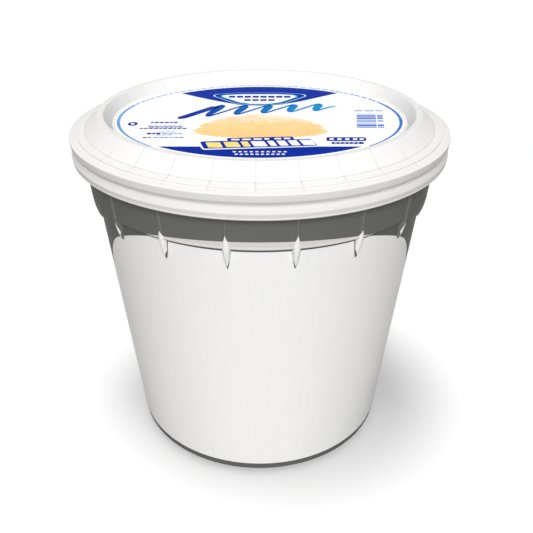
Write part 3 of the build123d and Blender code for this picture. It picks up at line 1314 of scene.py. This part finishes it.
@dataclass
class LidPrint(SubAssembly):
    """The round film in the lid's recess and its plain, wordless print.

    Places in the print are given from the label's centre, to the right and to the back.
    """

    sizes: PackSizes
    segments: int = 240
    seat: float = 0.05            # how deep the film is sunk into the panel
    edge_round: float = 0.12      # rounding of the film's upper edge
    coat: float = 0.035           # thickness of one layer of ink
    ring_across: float = 78.7     # half axes of the broken ring
    ring_along: float = 70.2
    ring_centre: float = -2.3
    ring_width: float = 1.9
    ring_end: float = 44.0        # azimuth where it ends on either side of the front
    ring_band: float = 84.0       # azimuth up to which it is a whole band
    ring_dense: float = 112.0     # azimuth up to which its dashes stand close together
    ring_fine: float = 150.0      # azimuth from which they are at their thinnest
    brush_waves: float = 5.5      # waves of the brush stroke
    brush_start: Flat = (-37.5, 7.6)
    brush_way: Flat = (82.5, 10.0)    # how far it runs to the right and to the back
    brush_lean: float = 0.62      # how far its strokes lean to the right for their height
    brush_height: Flat = (7.4, 6.0)   # height of its last stroke, and what its first has more
    brush_half: Flat = (0.95, 1.6)    # half its width, and what a down stroke has more
    brush_bend: float = 0.3       # how far behind the wave its thickest part lies
    scoop_centre: Flat = (0.4, -30.0)
    scoop_half: float = 34.8      # half the scoop's width
    scoop_crown: float = 32.0     # its height above its widest line
    scoop_base: float = 10.0      # its depth below that line
    layers: dict[Ink, Shape] = field(default_factory=dict)

    def level(self, layer: int) -> float:
        """Height of the upper side of a layer of ink."""
        return self.sizes.film_top + self.coat * layer

    def draw(self, ink: Ink, outline: Sequence[Flat], layer: int) -> None:
        """Adds a flat field of ink.

        Args:
            ink: The print piece that it belongs to.
            outline: The field's outline.
            layer: Its place in the stack of inks, from 1.
        """
        shape = self.layers.setdefault(ink, Shape())
        shape.plate(outline, self.level(-1), self.level(layer))

    def bar(self, ink: Ink, x: float, y: float, width: float, height: float,
            layer: int, slant: float = 0.0, soft: float = 0.3) -> None:
        """Adds a plain bar with rounded corners.

        Args:
            ink: The print piece that it belongs to.
            x: Left end.
            y: Middle line.
            width: Length of the bar.
            height: Its height on the label.
            layer: Its place in the stack of inks.
            slant: How far its upper edge is shifted to the right.
            soft: Rounding of its corners.
        """
        low, high = y - height / 2, y + height / 2
        corners = [(x, low), (x + width, low), (x + width + slant, high), (x + slant, high)]
        self.draw(ink, round_loop(corners, soft), layer)

    def dash(self, azimuth: float, length: float, width: float) -> None:
        """Adds one dash of the ring near the label's edge.

        Args:
            azimuth: Where it starts.
            length: How many degrees it covers.
            width: Its width.
        """
        outline = []
        for edge, shares in ((-0.5, steps(0, 1, 3)), (0.5, steps(1, 0, 3))):
            for share in shares:
                turn = math.radians(azimuth + length * share)
                across, along = self.ring_across + edge * width, self.ring_along + edge * width
                outline.append((across * math.sin(turn), self.ring_centre - along * math.cos(turn)))
        self.draw(Ink.RING, outline, 1)

    def ring(self) -> None:
        """The ring near the label's edge: a band at the sides, broken dashes at the back."""
        azimuth, step = self.ring_end, 0
        while azimuth < 360 - self.ring_end:
            side = 180 - abs(azimuth - 180)
            if side < self.ring_band:
                grown = (side - self.ring_end) / (self.ring_band - self.ring_end)
                length, gap, width = 3.0, -0.05, 0.4 + 0.6 * grown
            elif side < self.ring_dense:
                length, gap, width = 1.6 + 0.5 * (step % 3), 0.22, 1.0
            else:
                length, gap = 2.2 + 1.3 * ((step * 7) % 4) / 3, 0.5 + 0.35 * ((step * 5) % 3)
                width = 0.72 if side < self.ring_fine else 0.6
            self.dash(azimuth, length, self.ring_width * width)
            azimuth += length + gap
            step += 1

    def arc(self, left: Flat, right: Flat, height: float, count: int = 40) -> list[Flat]:
        """Points of a circular arc over two ends.

        Args:
            left: The first end.
            right: The last end.
            height: How far the arc's middle lies beyond the chord; negative is below it.
            count: How many gaps lie between its points.

        Returns:
            The points.
        """
        half = math.hypot(right[0] - left[0], right[1] - left[1]) / 2
        radius = (half ** 2 + height ** 2) / (2 * abs(height))
        sweep = math.asin(min(1.0, half / radius))
        mid = ((left[0] + right[0]) / 2, (left[1] + right[1]) / 2)
        sign = 1 if height > 0 else -1
        made = []
        for angle in steps(-sweep, sweep, count):
            lift = radius * math.cos(angle) - radius * math.cos(sweep)
            tilt = (right[1] - left[1]) * (math.sin(angle) / math.sin(sweep)) / 2
            made.append((mid[0] + radius * math.sin(angle), mid[1] + tilt + sign * lift))
        return made

    def crown(self) -> None:
        """The upper blue field and its badge, which holds two rows of plain blocks."""
        field_line = self.arc((-48.9, 48.2), (49.1, 48.9), 15.8)
        field_line += [(38.5, 40.6), (27.0, 31.4), (19.0, 26.2), (13.0, 22.8), (6.5, 20.8),
                       (0.0, 20.2), (-6.5, 20.8), (-13.0, 22.6), (-19.0, 26.0), (-27.0, 31.2),
                       (-39.0, 40.0)]
        self.draw(Ink.ROYAL, field_line, 1)
        outer = [(-32.0, 44.9), (-12.0, 49.6), (12.4, 49.6), (32.3, 44.9), (15.0, 25.0),
                 (5.5, 21.3), (-5.5, 21.3), (-15.0, 25.0)]
        inner = [(-27.0, 43.2), (-10.0, 45.9), (10.4, 45.9), (27.3, 43.2), (13.0, 26.8),
                 (5.0, 22.9), (-5.0, 22.9), (-13.0, 26.8)]
        middle_x, middle_y = 0.15, 36.0
        for corners, shrink, ink, layer in (
                (outer, 1.0, Ink.BADGE_LINE, 2), (outer, 0.965, Ink.ROYAL, 3),
                (inner, 1.0, Ink.BADGE_GLOW, 4), (inner, 0.95, Ink.WHITE, 5)):
            drawn = [(middle_x + (x - middle_x) * shrink, middle_y + (y - middle_y) * shrink)
                     for x, y in corners]
            self.draw(ink, round_loop(drawn, 4.0), layer)
        block, pitch = 3.9, 4.85
        for start, end, y, height in ((-19.0, 19.5, 39.4, 4.2), (-9.4, 9.4, 31.9, 3.8)):
            x = start
            while x < end:
                self.bar(Ink.ROYAL, x, y, block, height, 6, soft=0.5)
                x += pitch

    def brush_line(self) -> None:
        """The loose waved brush stroke across the middle, thick on its down strokes."""
        rows = []
        for share in steps(0, 1, 280):
            phase = 2 * math.pi * self.brush_waves * share
            calm = min(1.0, (1 - share) / 0.1)
            tall = self.brush_height[0] + self.brush_height[1] * (1 - share) ** 3
            lift = -tall * calm * math.cos(phase)
            x = self.brush_start[0] + self.brush_way[0] * share + self.brush_lean * lift
            y = self.brush_start[1] + self.brush_way[1] * share + lift
            down = 1.0 if share < 0.07 else max(0.0, math.sin(-phase - self.brush_bend))
            half = self.brush_half[0] + self.brush_half[1] * calm * down
            rows.append((x, y, half * min(1.0, share / 0.02 + 0.3, (1 - share) / 0.05 + 0.3)))
        low, high = self.level(-1), self.level(2)
        sections = []
        for i, (x, y, half) in enumerate(rows):
            ahead, behind = rows[min(i + 1, len(rows) - 1)], rows[max(i - 1, 0)]
            run, rise = ahead[0] - behind[0], ahead[1] - behind[1]
            length = math.hypot(run, rise)
            dx, dy = -rise / length * half, run / length * half
            sections.append([(x + dx, y + dy, high), (x - dx, y - dy, high),
                             (x - dx, y - dy, low), (x + dx, y + dy, low)])
        self.layers.setdefault(Ink.BRUSH, Shape()).rod(sections)

    def scoop(self) -> None:
        """The picture of a scoop with crumbly ends."""
        shape = self.layers.setdefault(Ink.SCOOP, Shape())
        x, y = self.scoop_centre
        outline = []
        for turn in steps(0, 2 * math.pi, 180)[:-1]:
            rise = math.copysign(abs(math.sin(turn)) ** 1.1, math.sin(turn))
            ragged = 0.004 + 0.03 * abs(math.cos(turn)) ** 3
            wild = 1 + ragged * (math.sin(19 * turn + 0.6) + 0.8 * math.sin(41 * turn + 1.9))
            along = self.scoop_crown if rise > 0 else self.scoop_base
            outline.append((x + self.scoop_half * math.cos(turn) * wild, y + along * rise * wild))
        heights = (self.level(-1), self.level(1))
        low, high = [shape.add((*point, height) for point in outline) for height in heights]
        shape.band(low, high, closed=True)
        for ring, height in zip((low, high), heights):
            shape.fan(ring, (x, y, height))

    def banner(self) -> None:
        """The slanted banner with its tab and plain blocks."""
        tab = [(-16.2, -45.5), (18.0, -43.2), (17.1, -37.7), (-17.1, -40.2)]
        block = [(-27.6, -56.9), (29.2, -52.3), (26.0, -41.9), (-30.5, -45.9)]
        edging = [(-28.0, -58.4), (30.9, -53.3), (28.4, -45.2), (-31.4, -48.8)]
        for corners, soft, ink, layer in ((tab, 1.6, Ink.ROYAL, 2), (edging, 2.2, Ink.WHITE, 3),
                                          (block, 1.6, Ink.ROYAL, 4)):
            self.draw(ink, round_loop(corners, soft), layer)
        # left end and width of each block, first on the tab, then on the banner
        for x, width in ((-14.8, 4.4), (-9.2, 4.6), (-3.4, 4.4), (2.2, 2.6), (7.4, 3.6), (12.2, 3.4)):
            self.bar(Ink.WHITE, x, -42.9 + 0.07 * (x + 16), width, 2.1, 5, 0.3, 0.7)
        blocks = ((-26.6, 7.4), (-17.6, 7.3), (-9.0, 3.7), (-3.9, 7.0), (4.5, 3.3), (9.2, 4.4),
                  (15.0, 4.6), (21.0, 6.4))
        for i, (x, width) in enumerate(blocks):
            ink = Ink.YELLOW if i < 3 else Ink.BLOCKS
            self.bar(ink, x + 1.1, -51.2 + 0.08 * (x + 26), width, 7.9, 5, -2.1, 0.8)

    def foot_field(self) -> None:
        """The lower blue field with two rows of small bars."""
        self.draw(Ink.ROYAL, self.arc((-50.8, -53.3), (51.0, -53.3), -16.4), 1)
        width = 1.6
        for y, half in ((-61.1, 13.2), (-64.7, 12.2)):
            for x in steps(-half, half - width, 9):
                self.bar(Ink.WHITE, x, y, width, 1.5, 2)

    def left_notes(self) -> None:
        """The rows of small bars at the left and the round dot above them."""
        # middle line, left end, right end and height of each row
        rows = ((-13.2, -60.0, -47.5, 2.2), (-19.6, -61.0, -44.0, 1.0), (-21.4, -60.0, -43.0, 1.5),
                (-23.9, -64.5, -39.5, 1.7), (-30.0, -52.5, -45.5, 0.9), (-32.6, -59.4, -54.0, 2.7),
                (-32.8, -51.5, -42.5, 1.1), (-35.0, -54.0, -46.0, 0.9), (-39.2, -60.8, -56.5, 1.5),
                (-39.2, -55.0, -39.5, 1.2))
        tall = 1.3
        for step, (y, start, end, height) in enumerate(rows):
            x = start
            while x < end:
                width = 1.5 + 0.8 * ((step + int(x * 2)) % 3)
                self.bar(Ink.ROYAL if height > tall else Ink.STRIPES, x, y, width, height, 1, 0.3)
                x += width + 0.5
        for radius, ink, layer in ((2.7, Ink.ROYAL, 1), (1.1, Ink.WHITE, 2)):
            self.draw(ink, oval((-69.4, -15.8), radius, 1.25 * radius, 24), layer)

    def right_notes(self) -> None:
        """The block of bars at the right, its short heading and the pill below it."""
        # middle line and height of each bar
        rows = ((2.9, 0.5), (0.2, 1.7), (-2.6, 2.0), (-5.6, 2.4), (-8.1, 0.5), (-10.5, 1.9),
                (-13.0, 0.5), (-14.8, 0.6), (-18.2, 3.0), (-21.6, 1.7))
        for y, height in rows:
            x = 52.2 + 0.12 * (y + 23)
            self.bar(Ink.STRIPES, x, y, 10.8, height, 1, soft=0.1)
            if height > 1:
                self.bar(Ink.RING, x + 11.4, y, 3.4, height, 1, soft=0.4)
        for x, width in ((54.9, 4.6), (60.4, 5.6), (66.8, 4.2)):
            self.bar(Ink.RING, x, 9.5, width, 1.4, 1)
        for x, y, width, height in ((33.9, -41.8, 20.4, 6.0), (36.0, -47.9, 16.4, 3.2)):
            self.bar(Ink.ROYAL, x, y, width, height, 1, 0.6, 1.2)
        for x in (35.6, 39.6, 43.6, 47.6, 51.0):
            self.bar(Ink.WHITE, x, -41.8, 2.3, 2.6, 2, 0.4, 0.9)
        for x in steps(37.6, 49.0, 5):
            self.bar(Ink.WHITE, x, -47.9, 1.3, 1.0, 2, 0.2)

    def build_film(self) -> bpy.types.Object:
        """Makes the round film, which stands for the CAD label.

        Returns:
            The piece.
        """
        low, high, radius = self.sizes.panel - self.seat, self.level(0), self.sizes.film_radius
        shape = Shape()
        shape.lathe(rounded([(0.0, low, 0.0), (radius, low, 0.0), (radius, high, self.edge_round),
                             (0.0, high, 0.0)]), self.segments)
        film = shape.piece("lid_label_film", LID_FILM, Slot.LID_LABEL)
        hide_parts("lid_label")
        return film

    def build(self) -> list[bpy.types.Object]:
        """Builds the film and every field of ink on it.

        Returns:
            The pieces, the film first.
        """
        pieces = [self.build_film()]
        for part in (self.ring, self.crown, self.brush_line, self.scoop, self.banner,
                     self.foot_field, self.left_notes, self.right_notes):
            part()
        for ink, shape in self.layers.items():
            pieces.append(shape.piece(*ink.value, Slot.LID_LABEL))
        return pieces


# --- studio ----------------------------------------------------------------------
@dataclass
class Studio:
    """Pale floor, soft lamps and the camera."""

    lens: float = 45.735
    sensor: float = 36.0
    camera_back: float = 377.4    # camera in front of the tub's axis
    camera_height: float = 306.1
    pitch: float = 29.0           # how far the camera looks down
    shift: float = 0.0127         # how far the lens is shifted to the side, as a share of the frame
    floor_size: float = 12000.0
    ambient: float = 0.08         # strength of the room's light on the pack
    floor_tone: Colour = (0.22, 0.208, 0.198, 1.0)      # the floor as the pack's sides see it
    lamps: tuple[tuple[str, float, float, float, float], ...] = (
        # name, azimuth, elevation, strength, spread in degrees
        ("key_from_front", 0.0, 30.0, 2.95, 30.0),
        ("top_from_left", -110.0, 86.0, 1.5, 18.0),
    )

    def seen(self, tree: bpy.types.NodeTree) -> bpy.types.NodeSocket:
        """Factor that is 1 for rays of the camera, of gloss and of glass.

        Args:
            tree: The node tree that uses it.

        Returns:
            The factor's socket.
        """
        path = add_node(tree, "ShaderNodeLightPath", {})
        gloss = add_node(tree, "ShaderNodeMath",
                         {0: path.outputs["Is Camera Ray"], 1: path.outputs["Is Glossy Ray"]},
                         operation="ADD")
        return add_node(tree, "ShaderNodeMath",
                        {0: gloss.outputs[0], 1: path.outputs["Is Transmission Ray"]},
                        operation="ADD", use_clamp=True).outputs[0]

    def build_world(self) -> None:
        """White behind everything, dimmer where it lights the pack."""
        world = bpy.data.worlds.new("white_room")
        bpy.context.scene.world = world
        world.use_nodes = True
        tree = world.node_tree
        tree.nodes.clear()
        strength = add_node(tree, "ShaderNodeMapRange",
                            {"Value": self.seen(tree), "To Min": self.ambient, "To Max": 1.0})
        sky = add_node(tree, "ShaderNodeBackground",
                       {"Color": WHITE, "Strength": strength.outputs["Result"]})
        add_node(tree, "ShaderNodeOutputWorld", {"Surface": sky.outputs[0]})

    def build_floor(self) -> None:
        """A white paper floor that takes the pack's shadow."""
        half = self.floor_size * MM / 2
        mesh = bpy.data.meshes.new("floor")
        mesh.from_pydata([(-half, -half, 0), (half, -half, 0), (half, half, 0), (-half, half, 0)],
                         [], [(0, 1, 2, 3)])
        paper = bpy.data.materials.new("white_paper_floor")
        paper.use_nodes = True
        tree = paper.node_tree
        tree.nodes.clear()
        tone = add_node(tree, "ShaderNodeMix",
                        {"Factor": self.seen(tree), "A": self.floor_tone, "B": WHITE},
                        data_type="RGBA")
        matt = add_node(tree, "ShaderNodeBsdfDiffuse", {"Color": tone.outputs["Result"]})
        add_node(tree, "ShaderNodeOutputMaterial", {"Surface": matt.outputs[0]})
        mesh.materials.append(paper)
        floor = bpy.data.objects.new("floor", mesh)
        bpy.context.scene.collection.objects.link(floor)

    def build_lamps(self) -> None:
        """Distant soft lamps, which light the pack and the floor evenly."""
        for name, azimuth, elevation, strength, spread in self.lamps:
            data = bpy.data.lights.new(name, "SUN")
            data.energy = strength
            data.angle = math.radians(spread)
            lamp = bpy.data.objects.new(name, data)
            lamp.rotation_euler = (math.radians(90 - elevation), 0, math.radians(azimuth))
            bpy.context.scene.collection.objects.link(lamp)

    def build_camera(self) -> None:
        """The camera, level from side to side and looking down on the lid."""
        data = bpy.data.cameras.new("camera")
        data.lens = self.lens
        data.sensor_width = self.sensor
        data.shift_x = self.shift
        camera = bpy.data.objects.new("camera", data)
        camera.location = (0.0, -self.camera_back * MM, self.camera_height * MM)
        camera.rotation_euler = (math.radians(90 - self.pitch), 0.0, 0.0)
        bpy.context.scene.collection.objects.link(camera)
        bpy.context.scene.camera = camera

    def build(self) -> None:
        """Builds the room, the floor, the lamps and the camera."""
        self.build_world()
        self.build_floor()
        self.build_lamps()
        self.build_camera()
        bpy.context.scene.view_settings.view_transform = "Standard"


def main() -> None:
    """Builds the tub, its labels, the lid, its print and the studio, and reports each piece."""
    logging.basicConfig(level=logging.INFO, format="%(name)s %(message)s")
    sizes = PackSizes.from_frame()
    tub = Tub(sizes)
    parts: tuple[SubAssembly, ...] = (
        tub,
        WallLabel(tub, "front_label", "label_front", facing=0.0),
        WallLabel(tub, "back_label", "label_back", facing=180.0),
        Lid(sizes),
        LidPrint(sizes),
    )
    for part in parts:
        for piece in part.build():
            mesh = piece.data
            LOG.info("%s: %d faces of %s", piece.name, len(mesh.polygons), mesh.materials[0].name)
    Studio().build()


if __name__ == "__main__":
    main()
